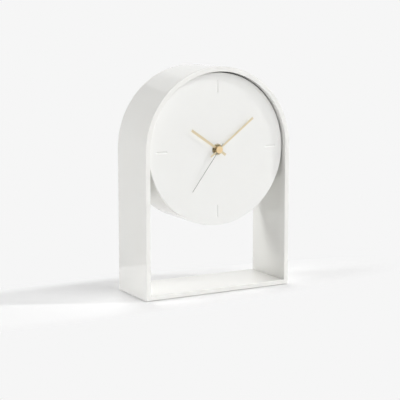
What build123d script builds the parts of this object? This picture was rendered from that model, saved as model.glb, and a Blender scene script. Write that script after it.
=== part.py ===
"""Table clock: a round drum held in an arch-shaped frame, with a quartz movement behind the dial.

Millimetres. +X is to the right seen from the front, +Y to the rear, +Z up.
The origin lies on the surface that the clock stands on, under the middle of its base.
"""
import math
import os

from build123d import *

# Arch frame: an inverted U on a flat base, one thick moulding open from front to back
FRAME_WIDTH = 217.0
FRAME_HEIGHT = 299.0
FRAME_DEPTH = 82.0
FRAME_WALL = 6.5
BASE_THICKNESS = 6.0
FRAME_EDGE_RADIUS = 0.7

# Foot pads, let into the underside near the corners of the base
PAD_RADIUS = 5.0
PAD_PROUD = 1.0
PAD_SEAT_DEPTH = 0.8
PAD_MARGIN = 6.0

# Drum: a straight ring closed in front by the dial, a disc as wide as the ring
SHADOW_GAP = 1.4
DRUM_RECESS = 7.0
DRUM_WALL = 2.5
DIAL_THICKNESS = 3.0
DRUM_EDGE_RADIUS = 0.6
DIAL_RIM_HEIGHT = 2.0
DIAL_RIM_WALL = 1.5
DIAL_RIM_FIT = 0.05
MARK_LENGTH = 17.0
MARK_WIDTH = 3.4
MARK_DEPTH = 0.7
MARK_MARGIN = 10.0
MARK_COUNT = 4

# Rear cover: a disc on a ledge in the mouth of the drum, with locating lugs and a finger notch
COVER_THICKNESS = 2.5
COVER_CLEARANCE = 0.3
COVER_EDGE_RADIUS = 0.5
LEDGE_WIDTH = 3.0
LEDGE_THICKNESS = 3.0
LUG_COUNT = 4
LUG_HEIGHT = 6.0
LUG_WALL = 1.6
LUG_ANGLE = 16.0
NOTCH_RADIUS = 9.0

# Packing strip and screws that hold the drum in the arch
SPACER_LENGTH = 30.0
SPACER_ANGLE = 130.0
SPACER_FIT = 0.05
SCREW_RADIUS = 1.5
SCREW_HEAD_RADIUS = 2.8
SCREW_HEAD_HEIGHT = 2.0
SCREW_ANGLE = 45.0
SCREW_FIT = 0.1
SCREW_SKIN = 1.8

# Gear teeth, in modules, and the fits of everything that turns
WHEEL_ADDENDUM = 1.0
WHEEL_DEDENDUM = 1.25
WHEEL_TIP_HALF = 0.31
WHEEL_ROOT_HALF = 1.2
LEAF_ADDENDUM = 0.8
LEAF_DEDENDUM = 1.35
LEAF_TIP_HALF = 0.22
LEAF_ROOT_HALF = 0.62
RUNNING_FIT = 0.06
PRESS_FIT = 0.02

# Train: the three arbors round the centre share one offset, the rotor stands off the intermediate arbor
TRAIN_OFFSET = 9.2
ROTOR_OFFSET = 7.2
THIRD_DIRECTION = 160.0
MOTION_DIRECTION = 20.0
INTERMEDIATE_DIRECTION = 90.0
ROTOR_DIRECTION = 60.0
ROTOR_LEAVES = 8
INTERMEDIATE_TEETH = 40
INTERMEDIATE_LEAVES = 10
SECOND_TEETH = 60
SECOND_LEAVES = 8
THIRD_TEETH = 64
THIRD_LEAVES = 8
CENTRE_TEETH = 60
CANNON_LEAVES = 10
MOTION_TEETH = 30
MOTION_LEAVES = 8
HOUR_TEETH = 32
WHEEL_THICKNESS = 1.1
LAYER_PITCH = 2.1
LEAF_OVERHANG = 0.2
END_PLAY = 0.4
ARBOR_RADIUS = 0.5
MINUTE_TUBE_RADIUS = 1.6
HOUR_TUBE_RADIUS = 2.5
PIVOT_DEPTH = 0.9
PIVOT_END_GAP = 0.1

# Stepping motor, in the plane of the second wheel
MAGNET_RADIUS = 2.3
MAGNET_LENGTH = 2.0
ROTOR_AIR_GAP = 0.35
STATOR_THICKNESS = 0.8
STATOR_WEB = 0.85
STATOR_HALF_LENGTH = 11.6
STATOR_ARM = 3.0
CORE_WIDTH = 2.4
BOBBIN_RADIUS = 1.7
BOBBIN_FLANGE_RADIUS = 2.8
BOBBIN_FLANGE = 0.8
WINDING_RADIUS = 2.6
COIL_FIT = 0.1

# Electronics on two posts beside the coil
BOARD_WIDTH = 13.0
BOARD_HEIGHT = 11.0
BOARD_THICKNESS = 0.8
BOARD_MARGIN = 0.6
POST_RADIUS = 1.2
CRYSTAL_RADIUS = 1.0
CRYSTAL_LENGTH = 6.0
CHIP_SIDE = 4.2
CHIP_HEIGHT = 0.9

# Battery: one AA cell across the bottom of the movement
BATTERY_RADIUS = 7.25
BATTERY_LENGTH = 50.5
TERMINAL_RADIUS = 2.75
TERMINAL_LENGTH = 1.3
BATTERY_EDGE_RADIUS = 0.8
BATTERY_FIT = 0.3
CONTACT_ROOM = 1.5
CONTACT_THICKNESS = 0.4
CONTACT_WIDTH = 8.0

# Movement housing and what fixes it to the dial
GASKET_THICKNESS = 0.8
GASKET_RADIUS = 11.0
PLATE_THICKNESS = 1.5
HOUSING_WALL = 1.3
HOUSING_CORNER_RADIUS = 2.5
HOUSING_EDGE_RADIUS = 0.8
TRAIN_CLEARANCE = 0.5
BUSH_RADIUS = 4.0
BUSH_PROUD = 2.2
DIAL_HOLE_FIT = 0.15
WASHER_RADIUS = 7.6
WASHER_THICKNESS = 0.3
NUT_CORNER_RADIUS = 7.0
NUT_THICKNESS = 1.6
KNOB_RADIUS = 6.5
KNOB_THICKNESS = 3.0
KNOB_STANDOFF = 0.4
KNOB_GROOVES = 20
KNOB_GROOVE_RADIUS = 0.5

# Hands: distance of each blade's rear face in front of the dial, and its angle clockwise from twelve
BLADE_THICKNESS = 0.4
COLLET_LENGTH = 0.5
COLLET_WALL = 0.9
TUBE_PROUD = 0.2
HOUR_LIFT = 2.8
HOUR_ANGLE = 304.2
HOUR_LENGTH = 48.0
HOUR_TAIL = 13.5
HOUR_HALF_WIDTH = 1.7
HOUR_EYE_RADIUS = 4.4
MINUTE_LIFT = 4.0
MINUTE_ANGLE = 52.8
MINUTE_LENGTH = 65.5
MINUTE_TAIL = 15.0
MINUTE_HUB_HALF_WIDTH = 1.1
MINUTE_TIP_HALF_WIDTH = 1.45
MINUTE_EYE_RADIUS = 3.6
SECOND_LIFT = 5.2
SECOND_ANGLE = 216.8
SECOND_LENGTH = 66.6
SECOND_TAIL = 10.0
SECOND_HALF_WIDTH = 0.4
SECOND_EYE_RADIUS = 2.2
CAP_RADIUS = 4.8
CAP_THICKNESS = 1.2
CAP_EDGE_RADIUS = 0.4

# Levels and radii that follow from the sizes above
BASE_BOTTOM = PAD_PROUD
DIAL_AXIS = BASE_BOTTOM + FRAME_HEIGHT - FRAME_WIDTH / 2
FRAME_INNER_RADIUS = FRAME_WIDTH / 2 - FRAME_WALL
DRUM_RADIUS = FRAME_INNER_RADIUS - SHADOW_GAP
DRUM_INNER_RADIUS = DRUM_RADIUS - DRUM_WALL
DIAL_FRONT = -FRAME_DEPTH / 2 + DRUM_RECESS
DIAL_BACK = DIAL_FRONT + DIAL_THICKNESS
DRUM_REAR = FRAME_DEPTH / 2 - DRUM_RECESS
PLATE_FRONT = DIAL_BACK + GASKET_THICKNESS
PLATE_BACK = PLATE_FRONT + PLATE_THICKNESS
LAYER_COUNT = 6
TRAIN_DEPTH = END_PLAY + (LAYER_COUNT - 1) * LAYER_PITCH + WHEEL_THICKNESS + LEAF_OVERHANG + END_PLAY
CAVITY_BACK = PLATE_BACK + TRAIN_DEPTH
HOUSING_REAR = CAVITY_BACK + HOUSING_WALL


def layer_front(layer):
    """Depth of the front face of the wheels in a layer, counted from 1 behind the front plate."""
    return PLATE_BACK + END_PLAY + (layer - 1) * LAYER_PITCH


def around_centre(offset, direction, start=(0.0, 0.0)):
    """Point at a distance and direction (degrees from +X towards +Z) from a start, about the dial axis."""
    angle = math.radians(direction)
    return (start[0] + offset * math.cos(angle), start[1] + offset * math.sin(angle))


def slab(sketch, front, back):
    """Solid of a sketch drawn about the dial axis (X right, Z up), from one depth to another."""
    face = Plane(origin=(0, back, DIAL_AXIS), x_dir=(1, 0, 0), z_dir=(0, -1, 0))
    return extrude(face * sketch, back - front)


def rod(place, radius, front, back):
    """Round bar along the depth, at a place given about the dial axis."""
    return slab(Pos(*place) * Circle(radius), front, back)


def box_between(left, right, bottom, top, front, back):
    """Rectangular block between two sides, two heights about the dial axis and two depths."""
    outline = Pos((left + right) / 2, (bottom + top) / 2) * Rectangle(right - left, top - bottom)
    return slab(outline, front, back)


def module_of(offset, teeth, leaves):
    """Module of a wheel and pinion that run at a given offset."""
    return 2 * offset / (teeth + leaves)


def gear_outline(count, module, addendum, dedendum, tip_half, root_half, phase):
    """Outline of a gear about its own centre, with a tooth at the phase angle (degrees)."""
    pitch_radius = count * module / 2
    root_radius = pitch_radius - dedendum * module
    tip_radius = pitch_radius + addendum * module
    root_angle = math.degrees(root_half * module / root_radius)
    tip_angle = math.degrees(tip_half * module / tip_radius)
    corners = []
    for tooth in range(count):
        middle = phase + tooth * 360 / count
        corners.append(around_centre(root_radius, middle - root_angle))
        corners.append(around_centre(tip_radius, middle - tip_angle))
        corners.append(around_centre(tip_radius, middle + tip_angle))
        corners.append(around_centre(root_radius, middle + root_angle))
    return Polygon(*corners, align=None)


def wheel(place, teeth, module, layer, phase=0.0):
    """Toothed wheel in a layer of the train."""
    outline = gear_outline(
        teeth, module, WHEEL_ADDENDUM, WHEEL_DEDENDUM, WHEEL_TIP_HALF, WHEEL_ROOT_HALF, phase
    )
    front = layer_front(layer)
    return slab(Pos(*place) * outline, front, front + WHEEL_THICKNESS)


def pinion(place, leaves, module, layer, phase=0.0):
    """Pinion that reaches a little past both faces of the wheel it meshes with."""
    outline = gear_outline(
        leaves, module, LEAF_ADDENDUM, LEAF_DEDENDUM, LEAF_TIP_HALF, LEAF_ROOT_HALF, phase
    )
    front = layer_front(layer)
    return slab(Pos(*place) * outline, front - LEAF_OVERHANG, front + WHEEL_THICKNESS + LEAF_OVERHANG)


def meshing_phase(direction, count, other_count, other_phase=0.0):
    """Phase of a gear that lies in a direction from another gear and meshes with it."""
    turned = (other_phase - direction) * other_count / count
    return direction + 180 + 180 / count - turned


THIRD_PLACE = around_centre(TRAIN_OFFSET, THIRD_DIRECTION)
MOTION_PLACE = around_centre(TRAIN_OFFSET, MOTION_DIRECTION)
INTERMEDIATE_PLACE = around_centre(TRAIN_OFFSET, INTERMEDIATE_DIRECTION)
ROTOR_PLACE = around_centre(ROTOR_OFFSET, ROTOR_DIRECTION, INTERMEDIATE_PLACE)
CENTRE_PLACE = (0.0, 0.0)

ROTOR_MODULE = module_of(ROTOR_OFFSET, INTERMEDIATE_TEETH, ROTOR_LEAVES)
SECOND_MODULE = module_of(TRAIN_OFFSET, SECOND_TEETH, INTERMEDIATE_LEAVES)
THIRD_MODULE = module_of(TRAIN_OFFSET, THIRD_TEETH, SECOND_LEAVES)
CENTRE_MODULE = module_of(TRAIN_OFFSET, CENTRE_TEETH, THIRD_LEAVES)
MOTION_MODULE = module_of(TRAIN_OFFSET, MOTION_TEETH, CANNON_LEAVES)
HOUR_MODULE = module_of(TRAIN_OFFSET, HOUR_TEETH, MOTION_LEAVES)

HOUR_LAYER = 1
MOTION_LAYER = 2
CENTRE_LAYER = 3
THIRD_LAYER = 4
SECOND_LAYER = 5
INTERMEDIATE_LAYER = 6

STATOR_MIDDLE = layer_front(SECOND_LAYER) + WHEEL_THICKNESS / 2
STATOR_FRONT = STATOR_MIDDLE - STATOR_THICKNESS / 2
STATOR_BACK = STATOR_MIDDLE + STATOR_THICKNESS / 2
STATOR_HOLE_RADIUS = MAGNET_RADIUS + ROTOR_AIR_GAP
STATOR_HALF_HEIGHT = STATOR_HOLE_RADIUS + STATOR_WEB
COIL_HEIGHT = ROTOR_PLACE[1] + STATOR_HALF_HEIGHT + TRAIN_CLEARANCE + BOBBIN_FLANGE_RADIUS
COIL_HALF_LENGTH = STATOR_HALF_LENGTH - STATOR_ARM - COIL_FIT

LARGEST_TIP = max(
    CENTRE_MODULE * (CENTRE_TEETH / 2 + WHEEL_ADDENDUM),
    SECOND_MODULE * (SECOND_TEETH / 2 + WHEEL_ADDENDUM),
    HOUR_MODULE * (HOUR_TEETH / 2 + WHEEL_ADDENDUM),
)
CAVITY_HALF_WIDTH = BATTERY_LENGTH / 2 + CONTACT_ROOM
CAVITY_TOP = COIL_HEIGHT + BOBBIN_FLANGE_RADIUS + TRAIN_CLEARANCE
CAVITY_BOTTOM = -LARGEST_TIP - TRAIN_CLEARANCE
BAY_TOP = CAVITY_BOTTOM - HOUSING_WALL
BATTERY_HEIGHT = BAY_TOP - BATTERY_FIT - BATTERY_RADIUS
BAY_BOTTOM = BATTERY_HEIGHT - BATTERY_RADIUS - BATTERY_FIT
BATTERY_DEPTH = PLATE_BACK + BATTERY_FIT + BATTERY_RADIUS
HOUSING_HALF_WIDTH = CAVITY_HALF_WIDTH + HOUSING_WALL
HOUSING_TOP = CAVITY_TOP + HOUSING_WALL
HOUSING_BOTTOM = BAY_BOTTOM - HOUSING_WALL


def arch_outline(half_width, bottom):
    """Flat-bottomed outline with straight sides and a semicircular top about the dial axis."""
    sides = Pos(0, bottom / 2) * Rectangle(2 * half_width, -bottom)
    return sides + Circle(half_width)


def screw_directions():
    """Angles of the drum's screws, in degrees from straight up."""
    return (-SCREW_ANGLE, 0.0, SCREW_ANGLE)


def along_radius(solid, angle):
    """Turn a solid that was built up the Z axis to a direction about the dial axis."""
    return Pos(0, 0, DIAL_AXIS) * Rot(0, angle, 0) * solid


def radial_bar(radius, inner, outer, angle):
    """Round bar that points away from the dial axis, halfway along the frame's depth."""
    return along_radius(Pos(0, 0, (inner + outer) / 2) * Cylinder(radius, outer - inner), angle)


def pad_places():
    """Centres of the foot pads on the underside."""
    x = FRAME_WIDTH / 2 - PAD_MARGIN - PAD_RADIUS
    y = FRAME_DEPTH / 2 - PAD_MARGIN - PAD_RADIUS
    return [(sx * x, sy * y) for sx in (-1, 1) for sy in (-1, 1)]


def upright(x, y, radius, bottom, top):
    """Round post between two heights above the floor."""
    return Pos(x, y, (bottom + top) / 2) * Cylinder(radius, top - bottom)


def make_arch_frame():
    """Arch and base in one piece, with seats for the pads and blind holes for the drum's screws."""
    outer = arch_outline(FRAME_WIDTH / 2, BASE_BOTTOM - DIAL_AXIS)
    inner = arch_outline(FRAME_INNER_RADIUS, BASE_BOTTOM + BASE_THICKNESS - DIAL_AXIS)
    frame = slab(outer - inner, -FRAME_DEPTH / 2, FRAME_DEPTH / 2)
    for face_depth in (-FRAME_DEPTH / 2, FRAME_DEPTH / 2):
        frame = fillet(frame.edges().filter_by_position(Axis.Y, face_depth, face_depth), FRAME_EDGE_RADIUS)
    for x, y in pad_places():
        frame -= upright(x, y, PAD_RADIUS + PRESS_FIT, BASE_BOTTOM, BASE_BOTTOM + PAD_SEAT_DEPTH)
    for angle in screw_directions():
        hole_end = FRAME_WIDTH / 2 - SCREW_SKIN
        frame -= radial_bar(SCREW_RADIUS + PRESS_FIT, DRUM_RADIUS, hole_end, angle)
    return frame


def make_foot_pads():
    """Four soft discs in the seats under the base."""
    top = BASE_BOTTOM + PAD_SEAT_DEPTH
    return [upright(x, y, PAD_RADIUS, 0, top) for x, y in pad_places()]


def mark_scoop():
    """Round-ended bar along the radius at twelve o'clock that dips into the dial by the mark's depth."""
    radius = (MARK_WIDTH**2 / 4 + MARK_DEPTH**2) / (2 * MARK_DEPTH)
    straight = MARK_LENGTH - MARK_WIDTH
    outline = SlotCenterToCenter(straight, 2 * radius)
    outline &= Pos(0, radius / 2) * Rectangle(straight + 2 * radius, radius)
    middle = DRUM_RADIUS - MARK_MARGIN - MARK_LENGTH / 2
    return Pos(0, DIAL_FRONT + MARK_DEPTH - radius, middle) * Rot(0, 90, 0) * revolve(outline, Axis.X)


def make_dial():
    """Front disc of the drum, with scooped marks, the bush's hole and a locating rim on its back."""
    dial = rod(CENTRE_PLACE, DRUM_RADIUS, DIAL_FRONT, DIAL_BACK)
    front_rim = dial.edges().filter_by(GeomType.CIRCLE).sort_by(Axis.Y)[0]
    dial = fillet(front_rim, DRUM_EDGE_RADIUS)
    rim_radius = DRUM_INNER_RADIUS - DIAL_RIM_FIT
    rim = Circle(rim_radius) - Circle(rim_radius - DIAL_RIM_WALL)
    dial += slab(rim, DIAL_BACK, DIAL_BACK + DIAL_RIM_HEIGHT)
    for index in range(MARK_COUNT):
        dial -= along_radius(mark_scoop(), index * 360 / MARK_COUNT)
    return dial - rod(CENTRE_PLACE, BUSH_RADIUS + DIAL_HOLE_FIT, DIAL_FRONT, DIAL_BACK)


def make_drum_case():
    """Ring behind the dial, with a ledge for the rear cover inside its open back."""
    case = rod(CENTRE_PLACE, DRUM_RADIUS, DIAL_BACK, DRUM_REAR)
    rear_rim = case.edges().filter_by(GeomType.CIRCLE).sort_by(Axis.Y)[-1]
    case = fillet(rear_rim, DRUM_EDGE_RADIUS)
    case -= rod(CENTRE_PLACE, DRUM_INNER_RADIUS, DIAL_BACK, DRUM_REAR)
    ledge_back = DRUM_REAR - COVER_THICKNESS
    ledge = Circle(DRUM_INNER_RADIUS) - Circle(DRUM_INNER_RADIUS - LEDGE_WIDTH)
    case += slab(ledge, ledge_back - LEDGE_THICKNESS, ledge_back)
    for angle in screw_directions():
        inner = DRUM_INNER_RADIUS - DRUM_WALL
        case -= radial_bar(SCREW_RADIUS + SCREW_FIT, inner, FRAME_INNER_RADIUS, angle)
    return case


def ring_part(outer, inner, direction, angle):
    """Part of a flat ring, over an angle (degrees) to both sides of a direction."""
    reach = 2 * outer
    sector = Polygon(
        CENTRE_PLACE,
        around_centre(reach, direction - angle / 2),
        around_centre(reach, direction),
        around_centre(reach, direction + angle / 2),
        align=None,
    )
    return (Circle(outer) - Circle(inner)) & sector


def make_drum_spacer():
    """Curved strip that fills the gap over the top of the drum, out of sight behind the dial."""
    band = ring_part(FRAME_INNER_RADIUS - SPACER_FIT, DRUM_RADIUS + SPACER_FIT, 90, SPACER_ANGLE)
    spacer = slab(band, -SPACER_LENGTH / 2, SPACER_LENGTH / 2)
    for angle in screw_directions():
        spacer -= radial_bar(SCREW_RADIUS + SCREW_FIT, DRUM_INNER_RADIUS, FRAME_INNER_RADIUS, angle)
    return spacer


def make_drum_screws():
    """Pan-head screws from inside the drum, through the strip, into the arch."""
    head_top = DRUM_INNER_RADIUS - SPACER_FIT
    tip = FRAME_WIDTH / 2 - SCREW_SKIN - SCREW_FIT
    screws = []
    for angle in screw_directions():
        head = radial_bar(SCREW_HEAD_RADIUS, head_top - SCREW_HEAD_HEIGHT, head_top, angle)
        shank = radial_bar(SCREW_RADIUS, head_top, tip, angle)
        screws.append(head + shank)
    return screws


def make_rear_cover():
    """Disc with locating lugs inside the ledge and a notch at the bottom to lift it out by."""
    cover_radius = DRUM_INNER_RADIUS - COVER_CLEARANCE
    lug_radius = DRUM_INNER_RADIUS - LEDGE_WIDTH - COVER_CLEARANCE
    front = DRUM_REAR - COVER_THICKNESS
    cover = rod(CENTRE_PLACE, cover_radius, front, DRUM_REAR)
    rear_rim = cover.edges().filter_by(GeomType.CIRCLE).sort_by(Axis.Y)[-1]
    cover = fillet(rear_rim, COVER_EDGE_RADIUS)
    for index in range(LUG_COUNT):
        direction = (index + 0.5) * 360 / LUG_COUNT
        lug = ring_part(lug_radius, lug_radius - LUG_WALL, direction, LUG_ANGLE)
        cover += slab(lug, front - LUG_HEIGHT, front)
    return cover - rod((0, -cover_radius), NOTCH_RADIUS, front, DRUM_REAR)


def housing_outline():
    """Outline that the two halves of the movement's housing share."""
    width = 2 * HOUSING_HALF_WIDTH
    height = HOUSING_TOP - HOUSING_BOTTOM
    middle = (HOUSING_TOP + HOUSING_BOTTOM) / 2
    return Pos(0, middle) * RectangleRounded(width, height, HOUSING_CORNER_RADIUS)


def stator_post_places():
    """Where the posts of the rear case carry the ends of the stator."""
    reach = STATOR_HALF_LENGTH - STATOR_ARM / 2
    return [(ROTOR_PLACE[0] + side * reach, COIL_HEIGHT) for side in (-1, 1)]


def board_corner():
    """Lower left corner of the circuit board, in the top left corner of the cavity."""
    return (-CAVITY_HALF_WIDTH + BOARD_MARGIN, CAVITY_TOP - BOARD_MARGIN - BOARD_HEIGHT)


def board_post_places():
    """Where the posts of the rear case carry the circuit board."""
    left, bottom = board_corner()
    middle = bottom + BOARD_HEIGHT / 2
    return [(left + 2 * POST_RADIUS, middle), (left + BOARD_WIDTH - 2 * POST_RADIUS, middle)]


def make_movement_front_plate():
    """Flat front half of the housing, with the bush's hole and blind pivot holes on its inner face."""
    plate = slab(housing_outline(), PLATE_FRONT, PLATE_BACK)
    plate -= rod(CENTRE_PLACE, BUSH_RADIUS + PRESS_FIT, PLATE_FRONT, PLATE_BACK)
    for place in (THIRD_PLACE, MOTION_PLACE, INTERMEDIATE_PLACE, ROTOR_PLACE):
        plate -= rod(place, ARBOR_RADIUS + RUNNING_FIT, PLATE_BACK - PIVOT_DEPTH, PLATE_BACK)
    return plate


def make_movement_rear_case():
    """Tub over the train, with an open battery bay below it, posts inside and pivot holes in its back."""
    case = slab(housing_outline(), PLATE_BACK, HOUSING_REAR)
    case = fillet(case.edges().filter_by_position(Axis.Y, HOUSING_REAR, HOUSING_REAR), HOUSING_EDGE_RADIUS)
    case -= box_between(
        -CAVITY_HALF_WIDTH, CAVITY_HALF_WIDTH, CAVITY_BOTTOM, CAVITY_TOP, PLATE_BACK, CAVITY_BACK
    )
    case -= box_between(
        -CAVITY_HALF_WIDTH, CAVITY_HALF_WIDTH, BAY_BOTTOM, BAY_TOP, PLATE_BACK, HOUSING_REAR
    )
    for place in stator_post_places():
        case += rod(place, POST_RADIUS, STATOR_BACK, CAVITY_BACK)
    for place in board_post_places():
        case += rod(place, POST_RADIUS, STATOR_BACK, CAVITY_BACK)
    for place in (CENTRE_PLACE, THIRD_PLACE, INTERMEDIATE_PLACE, ROTOR_PLACE):
        case -= rod(place, ARBOR_RADIUS + RUNNING_FIT, CAVITY_BACK, CAVITY_BACK + PIVOT_DEPTH)
    case -= rod(MOTION_PLACE, ARBOR_RADIUS + RUNNING_FIT, CAVITY_BACK, HOUSING_REAR)
    return case


def make_movement_gasket():
    """Rubber ring between the movement and the back of the dial."""
    return slab(Circle(GASKET_RADIUS) - Circle(BUSH_RADIUS + DIAL_HOLE_FIT), DIAL_BACK, PLATE_FRONT)


def make_centre_bush():
    """Bush that is fixed in the front plate and passes through the dial."""
    return slab(
        Circle(BUSH_RADIUS) - Circle(HOUR_TUBE_RADIUS + RUNNING_FIT), DIAL_FRONT - BUSH_PROUD, PLATE_BACK
    )


def make_dial_washer():
    """Thin washer under the nut."""
    outline = Circle(WASHER_RADIUS) - Circle(BUSH_RADIUS + DIAL_HOLE_FIT)
    return slab(outline, DIAL_FRONT - WASHER_THICKNESS, DIAL_FRONT)


def make_fixing_nut():
    """Six-sided nut that holds the movement to the dial."""
    back = DIAL_FRONT - WASHER_THICKNESS
    outline = RegularPolygon(NUT_CORNER_RADIUS, 6) - Circle(BUSH_RADIUS + PRESS_FIT)
    return slab(outline, back - NUT_THICKNESS, back)


def make_stator_plate():
    """Flat core: a bar with the rotor's hole, two arms and the straight core of the coil."""
    u, v = ROTOR_PLACE
    outline = Pos(u, v) * Rectangle(2 * STATOR_HALF_LENGTH, 2 * STATOR_HALF_HEIGHT)
    arm_bottom = v - STATOR_HALF_HEIGHT
    arm_top = COIL_HEIGHT + CORE_WIDTH / 2
    for side in (-1, 1):
        arm_middle = u + side * (STATOR_HALF_LENGTH - STATOR_ARM / 2)
        outline += Pos(arm_middle, (arm_bottom + arm_top) / 2) * Rectangle(STATOR_ARM, arm_top - arm_bottom)
    outline += Pos(u, COIL_HEIGHT) * Rectangle(2 * STATOR_HALF_LENGTH, CORE_WIDTH)
    outline -= Pos(u, v) * Circle(STATOR_HOLE_RADIUS)
    return slab(outline, STATOR_FRONT, STATOR_BACK)


def coil_cylinder(radius, start, end):
    """Round bar along the coil's axis, between two distances from its middle."""
    middle = ROTOR_PLACE[0] + (start + end) / 2
    place = Pos(middle, STATOR_MIDDLE, DIAL_AXIS + COIL_HEIGHT)
    return place * Rot(0, 90, 0) * Cylinder(radius, end - start)


def coil_core_hole():
    """Space that the stator's core takes inside the coil."""
    u = ROTOR_PLACE[0]
    half_height = CORE_WIDTH / 2 + COIL_FIT
    return box_between(
        u - STATOR_HALF_LENGTH,
        u + STATOR_HALF_LENGTH,
        COIL_HEIGHT - half_height,
        COIL_HEIGHT + half_height,
        STATOR_FRONT - COIL_FIT,
        STATOR_BACK + COIL_FIT,
    )


def make_coil_bobbin():
    """Flanged spool round the core."""
    spool = coil_cylinder(BOBBIN_RADIUS, -COIL_HALF_LENGTH, COIL_HALF_LENGTH)
    spool += coil_cylinder(BOBBIN_FLANGE_RADIUS, -COIL_HALF_LENGTH, -COIL_HALF_LENGTH + BOBBIN_FLANGE)
    spool += coil_cylinder(BOBBIN_FLANGE_RADIUS, COIL_HALF_LENGTH - BOBBIN_FLANGE, COIL_HALF_LENGTH)
    return spool - coil_core_hole()


def make_coil_winding():
    """Wound wire as one ring between the flanges."""
    half_length = COIL_HALF_LENGTH - BOBBIN_FLANGE
    ring = coil_cylinder(WINDING_RADIUS, -half_length, half_length)
    return ring - coil_cylinder(BOBBIN_RADIUS, -half_length, half_length)


def make_circuit_board():
    """Board on its two posts."""
    left, bottom = board_corner()
    return box_between(
        left, left + BOARD_WIDTH, bottom, bottom + BOARD_HEIGHT, STATOR_BACK - BOARD_THICKNESS, STATOR_BACK
    )


def make_quartz_crystal():
    """Small can that lies along the top of the board."""
    left, bottom = board_corner()
    front = STATOR_BACK - BOARD_THICKNESS
    place = Pos(left + BOARD_WIDTH / 2, front - CRYSTAL_RADIUS, DIAL_AXIS + bottom + 0.75 * BOARD_HEIGHT)
    return place * Rot(0, 90, 0) * Cylinder(CRYSTAL_RADIUS, CRYSTAL_LENGTH)


def make_control_chip():
    """Chip on the lower half of the board."""
    left, bottom = board_corner()
    front = STATOR_BACK - BOARD_THICKNESS
    middle = (left + BOARD_WIDTH / 2, bottom + BOARD_HEIGHT / 4)
    return slab(Pos(*middle) * Rectangle(CHIP_SIDE, CHIP_SIDE), front - CHIP_HEIGHT, front)


def make_battery():
    """AA cell lying across the bay, its raised terminal to the right."""
    body_length = BATTERY_LENGTH - TERMINAL_LENGTH
    body = Cylinder(BATTERY_RADIUS, body_length)
    body = fillet(body.edges().filter_by(GeomType.CIRCLE), BATTERY_EDGE_RADIUS)
    cell = body + Pos(0, 0, BATTERY_LENGTH / 2) * Cylinder(TERMINAL_RADIUS, TERMINAL_LENGTH)
    place = Pos(-TERMINAL_LENGTH / 2, BATTERY_DEPTH, DIAL_AXIS + BATTERY_HEIGHT)
    return place * Rot(0, 90, 0) * cell


def make_positive_contact():
    """Flat plate on the right-hand wall of the bay."""
    wall = CAVITY_HALF_WIDTH
    half = CONTACT_WIDTH / 2
    return box_between(
        wall - CONTACT_THICKNESS,
        wall,
        BATTERY_HEIGHT - half,
        BATTERY_HEIGHT + half,
        BATTERY_DEPTH - BATTERY_RADIUS,
        BATTERY_DEPTH + BATTERY_RADIUS / 2,
    )


def make_negative_contact():
    """Plate on the left-hand wall of the bay with a bowed leaf that presses on the cell."""
    wall = -CAVITY_HALF_WIDTH
    bow = CONTACT_ROOM - CONTACT_THICKNESS - BATTERY_FIT
    front = BATTERY_DEPTH - BATTERY_RADIUS
    back = BATTERY_DEPTH + BATTERY_RADIUS / 2
    leaf = Polyline(
        (wall, front),
        (wall, back),
        (wall + CONTACT_THICKNESS, back),
        (wall + CONTACT_THICKNESS + bow, (front + back) / 2),
        (wall + CONTACT_THICKNESS, front),
        close=True,
    )
    bottom = DIAL_AXIS + BATTERY_HEIGHT - CONTACT_WIDTH / 2
    return extrude(Pos(0, 0, bottom) * make_face(leaf), CONTACT_WIDTH)


def arbor(place, front, back):
    """Steel arbor of a wheel between two depths."""
    return rod(place, ARBOR_RADIUS, front, back)


def pivoted_arbor(place):
    """Arbor that runs in the blind holes of both halves of the housing."""
    reach = PIVOT_DEPTH - PIVOT_END_GAP
    return arbor(place, PLATE_BACK - reach, CAVITY_BACK + reach)


def make_rotor_pinion():
    """Pinion of the stepping motor on its arbor."""
    phase = meshing_phase(ROTOR_DIRECTION, ROTOR_LEAVES, INTERMEDIATE_TEETH)
    leaves = pinion(ROTOR_PLACE, ROTOR_LEAVES, ROTOR_MODULE, INTERMEDIATE_LAYER, phase)
    return leaves + pivoted_arbor(ROTOR_PLACE)


def make_rotor_magnet():
    """Ring magnet on the rotor's arbor, in the stator's hole."""
    ring = Circle(MAGNET_RADIUS) - Circle(ARBOR_RADIUS + PRESS_FIT)
    half = MAGNET_LENGTH / 2
    return slab(Pos(*ROTOR_PLACE) * ring, STATOR_MIDDLE - half, STATOR_MIDDLE + half)


def make_intermediate_wheel():
    """Wheel driven by the rotor, and the pinion that drives the second wheel."""
    gear = wheel(INTERMEDIATE_PLACE, INTERMEDIATE_TEETH, ROTOR_MODULE, INTERMEDIATE_LAYER)
    phase = meshing_phase(INTERMEDIATE_DIRECTION, INTERMEDIATE_LEAVES, SECOND_TEETH)
    leaves = pinion(INTERMEDIATE_PLACE, INTERMEDIATE_LEAVES, SECOND_MODULE, SECOND_LAYER, phase)
    return gear + leaves + pivoted_arbor(INTERMEDIATE_PLACE)


def make_second_wheel():
    """Second wheel and pinion on the long arbor that carries the second hand."""
    gear = wheel(CENTRE_PLACE, SECOND_TEETH, SECOND_MODULE, SECOND_LAYER)
    leaves = pinion(CENTRE_PLACE, SECOND_LEAVES, THIRD_MODULE, THIRD_LAYER)
    front = DIAL_FRONT - SECOND_LIFT - BLADE_THICKNESS
    return gear + leaves + arbor(CENTRE_PLACE, front, CAVITY_BACK + PIVOT_DEPTH - PIVOT_END_GAP)


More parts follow.
